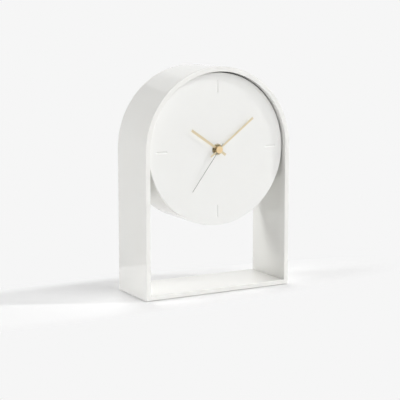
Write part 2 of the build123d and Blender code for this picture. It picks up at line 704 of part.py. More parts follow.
def make_third_wheel():
    """Wheel driven by the second pinion, and the pinion that drives the centre wheel."""
    phase = meshing_phase(THIRD_DIRECTION, THIRD_TEETH, SECOND_LEAVES)
    gear = wheel(THIRD_PLACE, THIRD_TEETH, THIRD_MODULE, THIRD_LAYER, phase)
    leaves = pinion(THIRD_PLACE, THIRD_LEAVES, CENTRE_MODULE, CENTRE_LAYER)
    return gear + leaves + pivoted_arbor(THIRD_PLACE)


def make_centre_wheel():
    """Centre wheel, a friction fit on the rear of the cannon pinion."""
    phase = meshing_phase(THIRD_DIRECTION + 180, CENTRE_TEETH, THIRD_LEAVES)
    gear = wheel(CENTRE_PLACE, CENTRE_TEETH, CENTRE_MODULE, CENTRE_LAYER, phase)
    front = layer_front(CENTRE_LAYER)
    return gear - rod(CENTRE_PLACE, MINUTE_TUBE_RADIUS + PRESS_FIT, front, front + WHEEL_THICKNESS)


def make_cannon_pinion():
    """Tube that carries the minute hand, with the pinion that drives the motion wheel."""
    front = DIAL_FRONT - MINUTE_LIFT - BLADE_THICKNESS - TUBE_PROUD
    back = layer_front(CENTRE_LAYER) + WHEEL_THICKNESS + LEAF_OVERHANG
    tube = rod(CENTRE_PLACE, MINUTE_TUBE_RADIUS, front, back)
    tube += pinion(CENTRE_PLACE, CANNON_LEAVES, MOTION_MODULE, MOTION_LAYER)
    return tube - rod(CENTRE_PLACE, ARBOR_RADIUS + RUNNING_FIT, front, back)


def make_motion_wheel():
    """Wheel and pinion of the motion work, on the arbor that the setting knob turns."""
    phase = meshing_phase(MOTION_DIRECTION, MOTION_TEETH, CANNON_LEAVES)
    gear = wheel(MOTION_PLACE, MOTION_TEETH, MOTION_MODULE, MOTION_LAYER, phase)
    leaves = pinion(MOTION_PLACE, MOTION_LEAVES, HOUR_MODULE, HOUR_LAYER)
    knob_middle = HOUSING_REAR + KNOB_STANDOFF + KNOB_THICKNESS / 2
    return gear + leaves + arbor(MOTION_PLACE, PLATE_BACK - PIVOT_DEPTH + PIVOT_END_GAP, knob_middle)


def make_hour_wheel():
    """Hour wheel with the outer tube that carries the hour hand."""
    phase = meshing_phase(MOTION_DIRECTION + 180, HOUR_TEETH, MOTION_LEAVES)
    gear = wheel(CENTRE_PLACE, HOUR_TEETH, HOUR_MODULE, HOUR_LAYER, phase)
    back = layer_front(HOUR_LAYER) + WHEEL_THICKNESS
    front = DIAL_FRONT - HOUR_LIFT - BLADE_THICKNESS - TUBE_PROUD
    gear += rod(CENTRE_PLACE, HOUR_TUBE_RADIUS, front, back)
    return gear - rod(CENTRE_PLACE, MINUTE_TUBE_RADIUS + RUNNING_FIT, front, back)


def make_setting_knob():
    """Grooved knob on the rear end of the motion wheel's arbor."""
    outline = Circle(KNOB_RADIUS)
    for groove in range(KNOB_GROOVES):
        place = around_centre(KNOB_RADIUS, groove * 360 / KNOB_GROOVES)
        outline -= Pos(*place) * Circle(KNOB_GROOVE_RADIUS)
    front = HOUSING_REAR + KNOB_STANDOFF
    knob = slab(Pos(*MOTION_PLACE) * outline, front, front + KNOB_THICKNESS)
    return knob - rod(MOTION_PLACE, ARBOR_RADIUS + PRESS_FIT, front, front + KNOB_THICKNESS / 2)


def blade(length, tail, hub_half, tip_half, eye_radius, angle):
    """Outline of a hand that points to an angle clockwise from twelve."""
    outline = Polygon(
        (-hub_half, -tail),
        (hub_half, -tail),
        (hub_half, 0),
        (tip_half, length),
        (-tip_half, length),
        (-hub_half, 0),
        align=None,
    )
    return Rot(0, 0, -angle) * (outline + Circle(eye_radius))


def make_hour_hand():
    """Hour hand: a straight baton on a short collet."""
    front = DIAL_FRONT - HOUR_LIFT - BLADE_THICKNESS
    outline = blade(HOUR_LENGTH, HOUR_TAIL, HOUR_HALF_WIDTH, HOUR_HALF_WIDTH, HOUR_EYE_RADIUS, HOUR_ANGLE)
    back = front + BLADE_THICKNESS + COLLET_LENGTH
    hand = slab(outline, front, front + BLADE_THICKNESS)
    hand += rod(CENTRE_PLACE, HOUR_TUBE_RADIUS + COLLET_WALL, front, back)
    return hand - rod(CENTRE_PLACE, HOUR_TUBE_RADIUS + PRESS_FIT, front, back)


def make_minute_hand():
    """Minute hand: a baton that widens from the hub outwards."""
    front = DIAL_FRONT - MINUTE_LIFT - BLADE_THICKNESS
    outline = blade(
        MINUTE_LENGTH,
        MINUTE_TAIL,
        MINUTE_HUB_HALF_WIDTH,
        MINUTE_TIP_HALF_WIDTH,
        MINUTE_EYE_RADIUS,
        MINUTE_ANGLE,
    )
    back = front + BLADE_THICKNESS + COLLET_LENGTH
    hand = slab(outline, front, front + BLADE_THICKNESS)
    hand += rod(CENTRE_PLACE, MINUTE_TUBE_RADIUS + COLLET_WALL, front, back)
    return hand - rod(CENTRE_PLACE, MINUTE_TUBE_RADIUS + PRESS_FIT, front, back)


def make_second_hand():
    """Second hand: a thin needle on a collet that grips the arbor."""
    back = DIAL_FRONT - SECOND_LIFT
    front = back - BLADE_THICKNESS
    outline = blade(
        SECOND_LENGTH, SECOND_TAIL, SECOND_HALF_WIDTH, SECOND_HALF_WIDTH, SECOND_EYE_RADIUS, SECOND_ANGLE
    )
    hand = slab(outline, front, back)
    hand += rod(CENTRE_PLACE, ARBOR_RADIUS + COLLET_WALL, front, back + COLLET_LENGTH)
    return hand - rod(CENTRE_PLACE, ARBOR_RADIUS + PRESS_FIT, front, back + COLLET_LENGTH)


def make_second_cap():
    """Round cap over the hub."""
    back = DIAL_FRONT - SECOND_LIFT - BLADE_THICKNESS
    cap = rod(CENTRE_PLACE, CAP_RADIUS, back - CAP_THICKNESS, back)
    front_rim = cap.edges().filter_by(GeomType.CIRCLE).sort_by(Axis.Y)[0]
    return fillet(front_rim, CAP_EDGE_RADIUS)


def write_node(name, shape):
    """Write one piece, or a group of like pieces, as a STEP file."""
    solids = shape if isinstance(shape, list) else [shape]
    gathered = [solid for piece in solids for solid in piece.solids()]
    group = gathered[0] if len(gathered) == 1 else Compound(children=gathered)
    export_step(group, os.path.join("parts", name + ".step"))


NODES = {
    "arch_frame": make_arch_frame,
    "foot_pads": make_foot_pads,
    "dial": make_dial,
    "drum_case": make_drum_case,
    "drum_spacer": make_drum_spacer,
    "drum_screws": make_drum_screws,
    "rear_cover": make_rear_cover,
    "movement_front_plate": make_movement_front_plate,
    "movement_rear_case": make_movement_rear_case,
    "movement_gasket": make_movement_gasket,
    "centre_bush": make_centre_bush,
    "dial_washer": make_dial_washer,
    "fixing_nut": make_fixing_nut,
    "stator_plate": make_stator_plate,
    "coil_bobbin": make_coil_bobbin,
    "coil_winding": make_coil_winding,
    "circuit_board": make_circuit_board,
    "quartz_crystal": make_quartz_crystal,
    "control_chip": make_control_chip,
    "battery": make_battery,
    "positive_contact": make_positive_contact,
    "negative_contact": make_negative_contact,
    "rotor_pinion": make_rotor_pinion,
    "rotor_magnet": make_rotor_magnet,
    "intermediate_wheel": make_intermediate_wheel,
    "second_wheel": make_second_wheel,
    "third_wheel": make_third_wheel,
    "centre_wheel": make_centre_wheel,
    "cannon_pinion": make_cannon_pinion,
    "motion_wheel": make_motion_wheel,
    "hour_wheel": make_hour_wheel,
    "setting_knob": make_setting_knob,
    "hour_hand": make_hour_hand,
    "minute_hand": make_minute_hand,
    "second_hand": make_second_hand,
    "second_cap": make_second_cap,
}

os.makedirs("parts", exist_ok=True)
for node_name, make_node in NODES.items():
    write_node(node_name, make_node())
print("wrote", len(NODES), "nodes")
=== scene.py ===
"""Looks of an arch-framed table clock: finishes, modelled details, light and camera.

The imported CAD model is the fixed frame: metres, +X to the right of the dial, +Y to the rear, +Z up.
New pieces are drawn in millimetres about the origin and put in place when they are finished.
"""
import logging
import math
from collections.abc import Callable, Iterable, Mapping, Sequence
from dataclasses import dataclass
from enum import Enum
from functools import partial, reduce
from typing import Any

import bmesh
import bpy
from mathutils import Matrix, Vector


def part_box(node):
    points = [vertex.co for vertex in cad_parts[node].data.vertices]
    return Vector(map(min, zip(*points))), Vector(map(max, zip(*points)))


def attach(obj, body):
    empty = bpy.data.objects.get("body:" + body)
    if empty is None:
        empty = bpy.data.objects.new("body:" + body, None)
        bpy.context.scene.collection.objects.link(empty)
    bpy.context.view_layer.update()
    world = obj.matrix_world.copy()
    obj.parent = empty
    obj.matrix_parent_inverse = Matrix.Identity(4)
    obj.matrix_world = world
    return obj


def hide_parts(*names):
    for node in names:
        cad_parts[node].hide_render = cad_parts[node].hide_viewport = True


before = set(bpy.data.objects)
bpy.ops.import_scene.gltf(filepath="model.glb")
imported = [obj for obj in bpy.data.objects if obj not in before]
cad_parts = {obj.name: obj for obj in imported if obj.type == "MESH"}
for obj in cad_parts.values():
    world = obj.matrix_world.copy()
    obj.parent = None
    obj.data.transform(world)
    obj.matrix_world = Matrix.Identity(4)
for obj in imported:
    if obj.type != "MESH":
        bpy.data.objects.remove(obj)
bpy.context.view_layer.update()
LOG = logging.getLogger("table_clock")

Mesh = bmesh.types.BMesh
Edge = bmesh.types.BMEdge
Vert = bmesh.types.BMVert
Tree = bpy.types.NodeTree
Socket = bpy.types.NodeSocket
Outline = Callable[[float], tuple[float, float]]

MM = 0.001
MERGE_MM = 1e-4
SMOOTH_ANGLE = math.radians(35)
STAND_UP = Matrix.Rotation(math.radians(90), 4, "X")
DIAL_NODE = "dial"
BACKGROUND = "#F6F6F6"
HAND_PIECES = ("hour_hand_blade", "minute_hand_blade", "second_hand_blade", "second_cap_crown")

# A wave texture takes 20 times its scaled coordinate as the phase, so one band is this long
WAVE_PERIOD = math.tau / 20
# Octaves of a slow pattern and of a fine one, and the values that a slow one mostly keeps to
SLOW_DETAIL = 2.0
FINE_DETAIL = 3.0
SLOW_SPAN = (0.3, 0.7)


def linear(code: str) -> tuple[float, float, float, float]:
    """Turns an sRGB hex colour into linear light.

    Args:
        code: Colour as #RRGGBB.

    Returns:
        Linear red, green and blue, and a full alpha.
    """
    shares = [int(code[start:start + 2], 16) / 255 for start in (1, 3, 5)]
    red, green, blue = (s / 12.92 if s <= 0.04045 else ((s + 0.055) / 1.055) ** 2.4 for s in shares)
    return red, green, blue, 1.0


def add_node(
    tree: Tree,
    kind: str,
    settings: Mapping[str, Any] | None = None,
    values: Mapping[str | int, Any] | None = None,
    links: Mapping[str | int, Socket] | None = None,
) -> bpy.types.Node:
    """Adds one shader node with its settings, socket values and incoming links.

    Args:
        tree: Node tree that gets the node.
        kind: Blender's name of the node type.
        settings: Properties of the node.
        values: Fixed values of its input sockets.
        links: Output sockets that feed its input sockets.

    Returns:
        The new node.
    """
    node = tree.nodes.new(kind)
    for name, value in (settings or {}).items():
        setattr(node, name, value)
    for socket, value in (values or {}).items():
        node.inputs[socket].default_value = value
    for socket, source in (links or {}).items():
        tree.links.new(source, node.inputs[socket])
    return node


def combine(tree: Tree, operation: str, first: Socket, second: Socket) -> Socket:
    """Result of an operation that Blender knows by name on two values."""
    links = {0: first, 1: second}
    return add_node(tree, "ShaderNodeMath", {"operation": operation}, links=links).outputs["Value"]


def remap(
    tree: Tree,
    value: Socket,
    source: tuple[float, float],
    target: tuple[float, float] = (0.0, 1.0),
    curve: str = "LINEAR",
) -> Socket:
    """Value moved from its source range to the target range along a curve, and held at the ends."""
    ends = dict(zip(("From Min", "From Max", "To Min", "To Max"), source + target))
    return add_node(
        tree, "ShaderNodeMapRange", {"interpolation_type": curve}, ends, {"Value": value}
    ).outputs["Result"]


def blend(tree: Tree, first: str, second: str, share: Socket) -> Socket:
    """First colour where the share is 0, second colour where it is 1, and a blend between."""
    colours = {6: linear(first), 7: linear(second)}
    return add_node(tree, "ShaderNodeMix", {"data_type": "RGBA"}, colours, {"Factor": share}).outputs[2]


def tint(tree: Tree, colour: Socket, pattern: Socket, share: float) -> Socket:
    """Colour multiplied by a share of a pattern."""
    settings = {"data_type": "RGBA", "blend_type": "MULTIPLY"}
    return add_node(tree, "ShaderNodeMix", settings, {"Factor": share}, {6: colour, 7: pattern}).outputs[2]


def noise(tree: Tree, place: Socket, size_mm: float, detail: float) -> bpy.types.Node:
    """Uneven pattern of spots of a size, with finer ones within it."""
    values = {"Scale": 1 / (size_mm * MM), "Detail": detail}
    return add_node(tree, "ShaderNodeTexNoise", values=values, links={"Vector": place})


def start_material(name: str) -> tuple[bpy.types.Material, Tree]:
    """Starts an empty node material.

    Args:
        name: Name of the material.

    Returns:
        The material and its node tree.
    """
    material = bpy.data.materials.new(name)
    material.use_nodes = True
    material.node_tree.nodes.clear()
    return material, material.node_tree


def close_material(tree: Tree, shader: Socket) -> None:
    """Joins a shader to the material's output."""
    add_node(tree, "ShaderNodeOutputMaterial", links={"Surface": shader})


def add_skin(
    tree: Tree,
    tone: Socket,
    values: Mapping[str, float],
    relief: tuple[Socket, float] | None = None,
    roughness: Socket | None = None,
) -> None:
    """Closes a material with the shader of a solid skin.

    Args:
        tree: Node tree of the material.
        tone: Colour of the skin.
        values: Fixed values of the shader.
        relief: Height of the skin's marks, and the depth of a full height in millimetres.
        roughness: Roughness of the skin, where it isn't a fixed value.
    """
    links = {"Base Color": tone}
    if roughness is not None:
        links["Roughness"] = roughness
    if relief is not None:
        height, depth_mm = relief
        full = {"Strength": 1.0, "Distance": depth_mm * MM}
        bump = add_node(tree, "ShaderNodeBump", values=full, links={"Height": height})
        links["Normal"] = bump.outputs["Normal"]
    skin = add_node(tree, "ShaderNodeBsdfPrincipled", values=values, links=links)
    close_material(tree, skin.outputs["BSDF"])


@dataclass(frozen=True)
class MouldedPlastic:
    """Injection-moulded plastic, an even skin whose gloss wanders and whose grain is the mould's own.

    The grain gives the eye either the slow waver of a polished mould's reflections or the fine
    frost of a spark-eroded one. Cloud is the slow drift of colour and gloss over a large wall.
    """

    name: str
    colour: str
    shade: str
    roughness: float
    gloss_wander: float
    grain_mm: float
    grain_depth_mm: float
    cloud_mm: float = 70.0
    ior: float = 1.53

    def make(self) -> bpy.types.Material:
        """Makes the material.

        Returns:
            A plastic with a drifting tone, a wandering gloss and a moulded grain.
        """
        material, tree = start_material(self.name)
        place = add_node(tree, "ShaderNodeTexCoord").outputs["Object"]
        cloud = noise(tree, place, self.cloud_mm, SLOW_DETAIL).outputs["Fac"]
        grain = noise(tree, place, self.grain_mm, FINE_DETAIL).outputs["Fac"]
        tone = blend(tree, self.colour, self.shade, cloud)
        glosses = (self.roughness - self.gloss_wander, self.roughness + self.gloss_wander)
        gloss = remap(tree, cloud, SLOW_SPAN, glosses)
        add_skin(tree, tone, {"IOR": self.ior}, (grain, self.grain_depth_mm), gloss)
        return material


class Lay(Enum):
    """Kinds of fine marks on a metal. Those of an uneven pattern have its stretch as their value."""

    BRUSHED = (1.0, 1.0, 0.02)
    TUMBLED = (1.0, 1.0, 1.0)
    TURNED = "rings"
    WOUND = "bands"


@dataclass(frozen=True)
class WorkedMetal:
    """Metal with the marks of its working: scratches, a tumbled frost, lathe rings or turns of wire.

    The marks spread the highlight along or across them, so flat metal doesn't look like a mirror.
    Turned rings run about an axis along Y through the centre, and wire is wound about X. Brushed
    marks run up the piece before it is turned clockwise from twelve by the angle.
    """

    name: str
    colour: str
    shade: str
    roughness: float
    gloss_wander: float
    lay: Lay
    pitch_mm: float
    depth_mm: float
    centre_mm: tuple[float, float, float] = (0.0, 0.0, 0.0)
    angle: float = 0.0
    lacquer: float = 0.0
    lacquer_roughness: float = 0.1

    def marks(self, tree: Tree) -> Socket:
        """Draws the working marks.

        Args:
            tree: Node tree of the material.

        Returns:
            Height of the marks, from 0 to 1.
        """
        place = add_node(
            tree,
            "ShaderNodeMapping",
            settings={"vector_type": "TEXTURE"},
            values={
                "Location": Vector(self.centre_mm) * MM,
                "Rotation": (0.0, math.radians(self.angle), 0.0),
            },
            links={"Vector": add_node(tree, "ShaderNodeTexCoord").outputs["Object"]},
        ).outputs["Vector"]
        if self.lay in WAVES:
            settings, waver = WAVES[self.lay]
            values = {"Scale": WAVE_PERIOD / (self.pitch_mm * MM), **waver}
            return add_node(tree, "ShaderNodeTexWave", settings, values, {"Vector": place}).outputs["Fac"]
        stretch = {"Scale": self.lay.value}
        drawn = add_node(tree, "ShaderNodeMapping", values=stretch, links={"Vector": place})
        return noise(tree, drawn.outputs["Vector"], self.pitch_mm, FINE_DETAIL).outputs["Fac"]

    def make(self) -> bpy.types.Material:
        """Makes the material.

        Returns:
            A metal whose tone, gloss and relief follow its working marks.
        """
        material, tree = start_material(self.name)
        marks = self.marks(tree)
        tone = blend(tree, self.colour, self.shade, marks)
        glosses = (self.roughness - self.gloss_wander, self.roughness + self.gloss_wander)
        gloss = remap(tree, marks, (0.0, 1.0), glosses)
        values = {"Metallic": 1.0, "Coat Weight": self.lacquer, "Coat Roughness": self.lacquer_roughness}
        add_skin(tree, tone, values, (marks, self.depth_mm), gloss)
        return material


# Wave pattern of each kind of marks that has one, and how much its bands wander
WAVES = {
    Lay.TURNED: (
        {"wave_type": "RINGS", "rings_direction": "Y"},
        {"Distortion": 1.5, "Detail": 2.0, "Detail Scale": 0.5},
    ),
    Lay.WOUND: ({"wave_type": "BANDS", "bands_direction": "X"}, {"Distortion": 0.3}),
}


@dataclass(frozen=True)
class BoardLaminate:
    """Glass-cloth laminate under green solder mask, with copper tracks that stand up beneath it.

    The tracks lie between the cells of a pattern. Their edge gives the distance from a cell's
    middle at which they start and reach their full height.
    """

    name: str
    mask: str
    track: str
    weave_mm: float
    track_mm: float
    track_scatter: float = 0.6
    track_edge: tuple[float, float] = (0.42, 0.46)
    track_rise_mm: float = 0.03
    weave_shade: tuple[float, ...] = (0.8, 0.8, 0.8, 1.0)
    weave_share: float = 0.35
    roughness: float = 0.28
    ior: float = 1.55

    def make(self) -> bpy.types.Material:
        """Makes the material.

        Returns:
            Glossy green mask with lighter raised tracks and a faint weave.
        """
        material, tree = start_material(self.name)
        place = add_node(tree, "ShaderNodeTexCoord").outputs["Object"]
        cells = add_node(
            tree,
            "ShaderNodeTexVoronoi",
            settings={"distance": "CHEBYCHEV", "feature": "F1"},
            values={"Scale": 1 / (self.track_mm * MM), "Randomness": self.track_scatter},
            links={"Vector": place},
        )
        tracks = remap(tree, cells.outputs["Distance"], self.track_edge)
        threads = {"Color1": (1.0, 1.0, 1.0, 1.0), "Color2": self.weave_shade}
        weave = add_node(
            tree,
            "ShaderNodeTexChecker",
            values={"Scale": 1 / (self.weave_mm * MM), **threads},
            links={"Vector": place},
        ).outputs["Color"]
        tone = tint(tree, blend(tree, self.mask, self.track, tracks), weave, self.weave_share)
        values = {"Roughness": self.roughness, "IOR": self.ior}
        add_skin(tree, tone, values, (tracks, self.track_rise_mm))
        return material


@dataclass(frozen=True)
class PrintedSleeve:
    """Shrink sleeve of a battery that lies along X: a plain body and a darker band at one end."""

    name: str
    body: str
    band: str
    band_from_mm: float
    line_mm: float
    line: str = "#F4F2EC"
    fleck_mm: float = 0.25
    fleck_share: float = 0.15
    roughness: float = 0.3
    ior: float = 1.5
    varnish: float = 0.5
    varnish_roughness: float = 0.12

    def make(self) -> bpy.types.Material:
        """Makes the material.

        Returns:
            Glossy printed film in two tones with a thin pale line between them.
        """
        material, tree = start_material(self.name)
        place = add_node(tree, "ShaderNodeTexCoord").outputs["Object"]
        along = add_node(tree, "ShaderNodeSeparateXYZ", links={"Vector": place}).outputs["X"]
        ends = ((self.band_from_mm - self.line_mm) * MM, (self.band_from_mm + self.line_mm) * MM)
        banded = remap(tree, along, ends, curve="STEPPED")
        banded.node.inputs["Steps"].default_value = 2.0
        # The steps are 0, a half and 1, and each tone of the print starts half way before its step
        print_tones = add_node(tree, "ShaderNodeValToRGB", links={"Fac": banded})
        stops = print_tones.color_ramp
        stops.interpolation = "CONSTANT"
        stops.elements[0].color = linear(self.body)
        stops.elements[1].color = linear(self.band)
        stops.elements[1].position = 0.75
        stops.elements.new(0.25).color = linear(self.line)
        fleck = noise(tree, place, self.fleck_mm, SLOW_DETAIL).outputs["Color"]
        tone = tint(tree, print_tones.outputs["Color"], fleck, self.fleck_share)
        values = {
            "Roughness": self.roughness,
            "IOR": self.ior,
            "Coat Weight": self.varnish,
            "Coat Roughness": self.varnish_roughness,
        }
        add_skin(tree, tone, values)
        return material


Finish = MouldedPlastic | WorkedMetal | BoardLaminate | PrintedSleeve


def material_of(finish: Finish) -> bpy.types.Material:
    """The one material with a finish's name, made at its first use."""
    return bpy.data.materials.get(finish.name) or finish.make()


# The numbers are the roughness and its wander, then a plastic's grain size, grain depth, cloud size
# and refraction, or the pitch and depth of a metal's marks.
# Polished white ABS: deep gloss over a very slow waver, as a thick moulding has
GLOSS_ABS = MouldedPlastic("polished_white_abs", "#F1F1EE", "#EFEEEA", 0.05, 0.015, 14.0, 0.002)
# The drum's ring is the same ABS from a smaller mould
DRUM_ABS = MouldedPlastic("polished_white_abs_drum", "#F1F1EE", "#EEEDE9", 0.05, 0.015, 9.0, 0.003)
# Satin white ABS: the dial's skin spreads its highlights, so it reads as paper-smooth
DIAL_ABS = MouldedPlastic("satin_white_abs", "#F0F0EE", "#EEEEEB", 0.34, 0.02, 0.5, 0.002)
# Spark-eroded white ABS: a fine frost, drawn twice as coarse as the real grit so that it shows
COVER_ABS = MouldedPlastic("spark_eroded_white_abs", "#EEEEEB", "#EAE9E5", 0.55, 0.06, 0.5, 0.02)
# Foamed polyethylene strip, dull grey with open cells
STRIP_PE = MouldedPlastic("grey_polyethylene_strip", "#8E8E8B", "#7A7A77", 0.8, 0.08, 0.6, 0.08, 12.0, 1.5)
# Black ABS with the light texture of a movement housing
HOUSING_ABS = MouldedPlastic("textured_black_abs", "#1F1F20", "#272728", 0.5, 0.06, 0.35, 0.02, 25.0)
# Natural acetal of the small wheels, waxy and slightly yellow
GEAR_POM = MouldedPlastic("natural_acetal", "#E6E2D4", "#DBD5C4", 0.38, 0.06, 0.8, 0.004, 9.0, 1.48)
# Grey ABS of the hand-setting knob
KNOB_ABS = MouldedPlastic("grey_abs_knob", "#6F7276", "#64676B", 0.45, 0.05, 0.4, 0.01, 10.0)
# Black moulding resin of a chip, matt with fine filler
CHIP_RESIN = MouldedPlastic("black_moulding_resin", "#1A1A1B", "#232324", 0.62, 0.05, 0.15, 0.01, 3.0, 1.55)
# Soft rubber of the pads and the gasket: dark, dry and faintly dusty
SOFT_RUBBER = MouldedPlastic("soft_dark_rubber", "#3A3A3B", "#4A4948", 0.85, 0.08, 0.25, 0.02, 6.0, 1.5)
# Zinc-plated steel of the screws
ZINC_STEEL = WorkedMetal("zinc_plated_steel", "#BFC3C6", "#A9ADB1", 0.32, 0.08, Lay.TUMBLED, 0.6, 0.004)
# Silicon steel of the stator, stamped and dull
CORE_STEEL = WorkedMetal("stamped_core_steel", "#8E8F90", "#7B7C7E", 0.45, 0.1, Lay.TUMBLED, 0.5, 0.006)
# Nickel-plated spring steel of the contacts
SPRINGS = WorkedMetal("nickel_spring_steel", "#C9C6BE", "#B5B2AA", 0.25, 0.07, Lay.BRUSHED, 0.15, 0.002)
# Drawn can of the crystal and the battery's ends
CAN_METAL = WorkedMetal("drawn_nickel_can", "#CFCFCB", "#BCBCB8", 0.24, 0.06, Lay.TUMBLED, 0.7, 0.002)
# Sintered magnet, almost black
MAGNET = WorkedMetal("sintered_magnet", "#4C4A48", "#3C3A39", 0.55, 0.1, Lay.TUMBLED, 0.2, 0.01)
# Enamelled copper: real turns are about 0.08 mm, drawn at 0.3 mm so that they show. The first colour is
# painted shade in the grooves between turns, and the second is a painted highlight on their crests.
PAINTED_SHADE_WIRE = WorkedMetal(
    "enamelled_copper_wire_painted_shade", "#7E4320", "#C4703A", 0.35, 0.0, Lay.WOUND, 0.3, 0.15, lacquer=0.6
)
# Thin laminate with its mask
LAMINATE = BoardLaminate("masked_glass_laminate", "#1F5A38", "#3E8557", weave_mm=0.4, track_mm=1.6)


def soften(bm: Mesh, width: float, segments: int = 3, sharper_than: float = 40.0) -> None:
    """Rounds the sharp edges of a mesh.

    Args:
        bm: Mesh to round.
        width: Width of the rounding, in the mesh's units.
        segments: Number of strips across the rounding.
        sharper_than: Least angle in degrees between the faces at an edge that is rounded.
    """
    limit = math.radians(sharper_than)
    sharp = [e for e in bm.edges if len(e.link_faces) == 2 and e.calc_face_angle() > limit]
    bmesh.ops.bevel(
        bm,
        geom=sharp,
        offset=width,
        offset_type="OFFSET",
        segments=segments,
        profile=0.5,
        affect="EDGES",
        material=-1,
        clamp_overlap=True,
    )


def turn_profile(
    bm: Mesh, profile: Sequence[tuple[float, float]], steps: int, closed: bool = False
) -> None:
    """Spins a profile about the Y axis, as a lathe would.

    Args:
        bm: Mesh that gets the turned shape.
        profile: Points as (radius, depth along Y).
        steps: Number of facets round the axis.
        closed: Whether the last point joins the first, as for a ring.
    """
    points = [bm.verts.new((radius, depth, 0.0)) for radius, depth in profile]
    pairs = list(zip(points, points[1:]))
    if closed:
        pairs.append((points[-1], points[0]))
    edges = [bm.edges.new(pair) for pair in pairs]
    shape = points + edges
    bmesh.ops.spin(bm, geom=shape, axis=(0, 1, 0), angle=math.tau, steps=steps, use_merge=True)
    bmesh.ops.remove_doubles(bm, verts=bm.verts[:], dist=MERGE_MM)
    bmesh.ops.recalc_face_normals(bm, faces=bm.faces[:])


def pick(geom: Iterable[Any], kind: type) -> list[Any]:
    """Elements of one kind among those that an operator gives back."""
    return [item for item in geom if isinstance(item, kind)]


def thicken(bm: Mesh, depth: float) -> None:
    """Gives a flat sheet in the XZ plane a thickness towards the rear.

    Args:
        bm: Mesh of the sheet.
        depth: Thickness, in the mesh's units.
    """
    grown = bmesh.ops.extrude_face_region(bm, geom=bm.faces[:])
    bmesh.ops.translate(bm, verts=pick(grown["geom"], Vert), vec=(0, depth, 0))
    bmesh.ops.recalc_face_normals(bm, faces=bm.faces[:])


def join_into(bm: Mesh, part: Mesh) -> None:
    """Adds one mesh to another.

    Args:
        bm: Mesh that grows.
        part: Mesh that is added. It is freed.
    """
    carrier = bpy.data.meshes.new("carrier")
    part.to_mesh(carrier)
    part.free()
    bm.from_mesh(carrier)
    bpy.data.meshes.remove(carrier)


def add_loop(bm: Mesh, steps: int, shape: Outline) -> list[Edge]:
    """Adds a closed loop about the Y axis whose radius and depth follow the angle.

    Args:
        bm: Mesh that gets the loop.
        steps: Number of its points.
        shape: Radius and depth at an angle from +X towards +Z.

    Returns:
        The loop's edges.
    """
    circle = bmesh.ops.create_circle(bm, segments=steps, radius=1.0, matrix=STAND_UP)["verts"]
    for vert in circle:
        radius, depth = shape(math.atan2(vert.co.z, vert.co.x))
        vert.co = vert.co * radius + Vector((0, depth, 0))
    return list({edge for vert in circle for edge in vert.link_edges})


def bridge_along(bm: Mesh, loops: Sequence[list[Edge]]) -> None:
    """Joins each loop to the next with faces that look outwards.

    Args:
        bm: Mesh of the loops.
        loops: Edges of the loops, in order.
    """
    for near, far in zip(loops, loops[1:]):
        bmesh.ops.bridge_loops(bm, edges=near + far)
    bmesh.ops.recalc_face_normals(bm, faces=bm.faces[:])


def add_object(bm: Mesh, name: str, materials: Iterable[bpy.types.Material]) -> bpy.types.Object:
    """Turns a mesh into an object of the scene.

    Args:
        bm: Mesh in metres. It is freed.
        name: Name of the object.
        materials: Materials of the object, in the order of their numbers.

    Returns:
        The object.
    """
    mesh = bpy.data.meshes.new(name)
    bm.to_mesh(mesh)
    bm.free()
    for material in materials:
        mesh.materials.append(material)
    added = bpy.data.objects.new(name, mesh)
    bpy.context.scene.collection.objects.link(added)
    return added


def finish_piece(
    bm: Mesh,
    name: str,
    body: str,
    finishes: Iterable[Finish],
    place: Vector,
    stands_for: Sequence[str] = (),
) -> None:
    """Turns a mesh drawn in millimetres into a piece of the clock.

    Args:
        bm: Mesh about the origin. It is freed.
        name: Name of the piece.
        body: CAD body that the piece rides on.
        finishes: Finishes of the piece, in the order of its material numbers.
        place: Where the mesh's origin goes, in metres.
        stands_for: CAD nodes that the piece replaces.
    """
    bmesh.ops.scale(bm, vec=(MM, MM, MM), verts=bm.verts[:])
    bmesh.ops.translate(bm, vec=place, verts=bm.verts[:])
    piece = add_object(bm, name, map(material_of, finishes))
    piece.data.shade_smooth()
    piece.data.set_sharp_from_angle(angle=SMOOTH_ANGLE)
    piece.modifiers.new("even_shading", "WEIGHTED_NORMAL").keep_sharp = True
    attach(piece, body)
    if stands_for:
        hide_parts(*stands_for)
    LOG.info("built %s on %s", name, body)


def dress(finish: Finish, *names: str) -> None:
    """Gives CAD nodes a finish.

    Args:
        finish: Finish of the nodes.
        names: Names of the nodes.
    """
    for name in names:
        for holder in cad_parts[name].material_slots:
            holder.material = material_of(finish)
        LOG.info("dressed %s in %s", name, finish.name)


def on_axis(node: str) -> tuple[Vector, float]:
    """Finds where a CAD node starts on the axis of the hands.

    Args:
        node: Name of the node.

    Returns:
        Point of the axis at the node's front, in metres, and the node's depth in millimetres.
    """
    low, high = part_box(node)
    middle = sum(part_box(DIAL_NODE), Vector()) / 2
    return Vector((middle.x, low.y, middle.z)), (high.y - low.y) / MM


@dataclass
class ArchFrame:
    """The arch, one thick glossy moulding, and the soft pads under its base."""

    pad_radius: float = 5.0
    pad_edge: float = 0.45
    pad_steps: int = 48

    def build(self) -> None:
        """Dresses the arch and turns the four pads with a rounded lower edge."""
        dress(GLOSS_ABS, "arch_frame")
        low, high = (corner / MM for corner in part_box("foot_pads"))
        radius, height = self.pad_radius, high.z - low.z
        bm = bmesh.new()
        for x in (low.x + radius, high.x - radius):
            for y in (low.y + radius, high.y - radius):
                pad = bmesh.new()
                turn_profile(pad, [(0, 0), (radius, 0), (radius, height), (0, height)], self.pad_steps)
                soften(pad, self.pad_edge)
                place = Matrix.Translation((x, y, low.z)) @ STAND_UP
                bmesh.ops.transform(pad, matrix=place, verts=pad.verts[:])
                join_into(bm, pad)
        finish_piece(bm, "foot_pad_set", "case", [SOFT_RUBBER], Vector(), ["foot_pads"])


